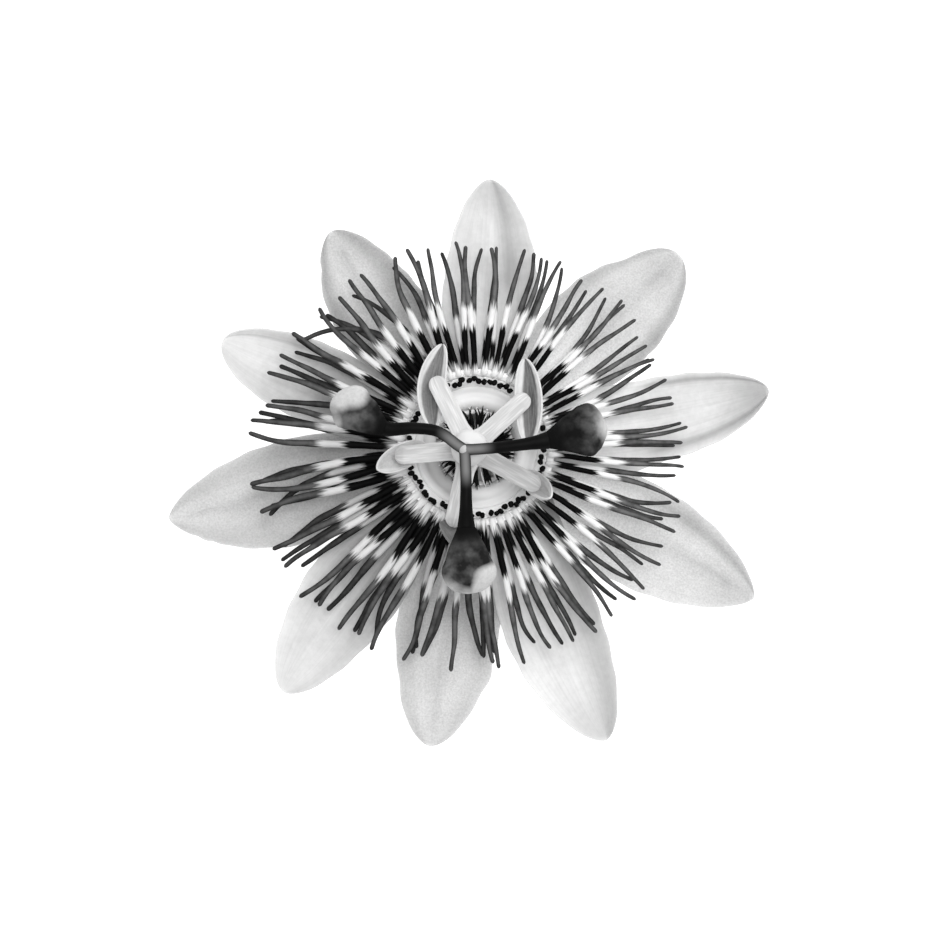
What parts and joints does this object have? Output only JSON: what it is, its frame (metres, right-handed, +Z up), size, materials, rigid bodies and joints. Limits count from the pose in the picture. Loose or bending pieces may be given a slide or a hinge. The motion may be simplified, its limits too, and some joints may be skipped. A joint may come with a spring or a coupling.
{
  "type": "passion flower",
  "caption": "Open passion flower with pointed petals and sepals, a banded corona of filaments, boat-shaped anthers and three dark club-shaped styles.",
  "frame": {"origin": "middle of the flat spot under the cup", "axes": "+Z up out of the open flower, +Y towards the top tepal of the picture, +X to its right"},
  "size_m": [0.0842, 0.0797, 0.0247],
  "materials": {
    "cup": "mid-grey plant tissue, matte",
    "sepal": "pale grey petal tissue with a faint grain, matte",
    "petal": "pale grey petal tissue with faint veins, soft sheen",
    "filament": "banded threads, pale at the root, black, white and dark grey at the tip",
    "bead": "near-black round heads on a pale base",
    "membrane": "smooth waxy white",
    "fringe": "near-black hairs with pale specks",
    "stamen": "smooth pale tissue with fine lengthwise streaks",
    "anther": "pale rim and mid-grey powdery inside",
    "ovary": "smooth waxy white",
    "style": "near-black with a soft sheen",
    "stigma": "mottled dark and pale, velvety"
  },
  "bodies": {
    "root": {"receptacle": "cup", "sepal_1": "sepal", "sepal_2": "sepal", "sepal_3": "sepal", "sepal_4": "sepal", "sepal_5": "sepal", "petal_1": "petal", "petal_2": "petal", "petal_3": "petal", "petal_4": "petal", "petal_5": "petal", "corona_lower": "filament", "corona_upper": "filament", "bead_ring": "bead", "operculum": "membrane", "nectary_fringe": "fringe", "androgynophore": "stamen", "anther_1": "anther", "anther_2": "anther", "anther_3": "anther", "anther_4": "anther", "anther_5": "anther", "ovary": "ovary", "style_1": "style", "style_2": "style", "style_3": "style", "stigma_1": "stigma", "stigma_2": "stigma", "stigma_3": "stigma"}
  },
  "joints": []
}
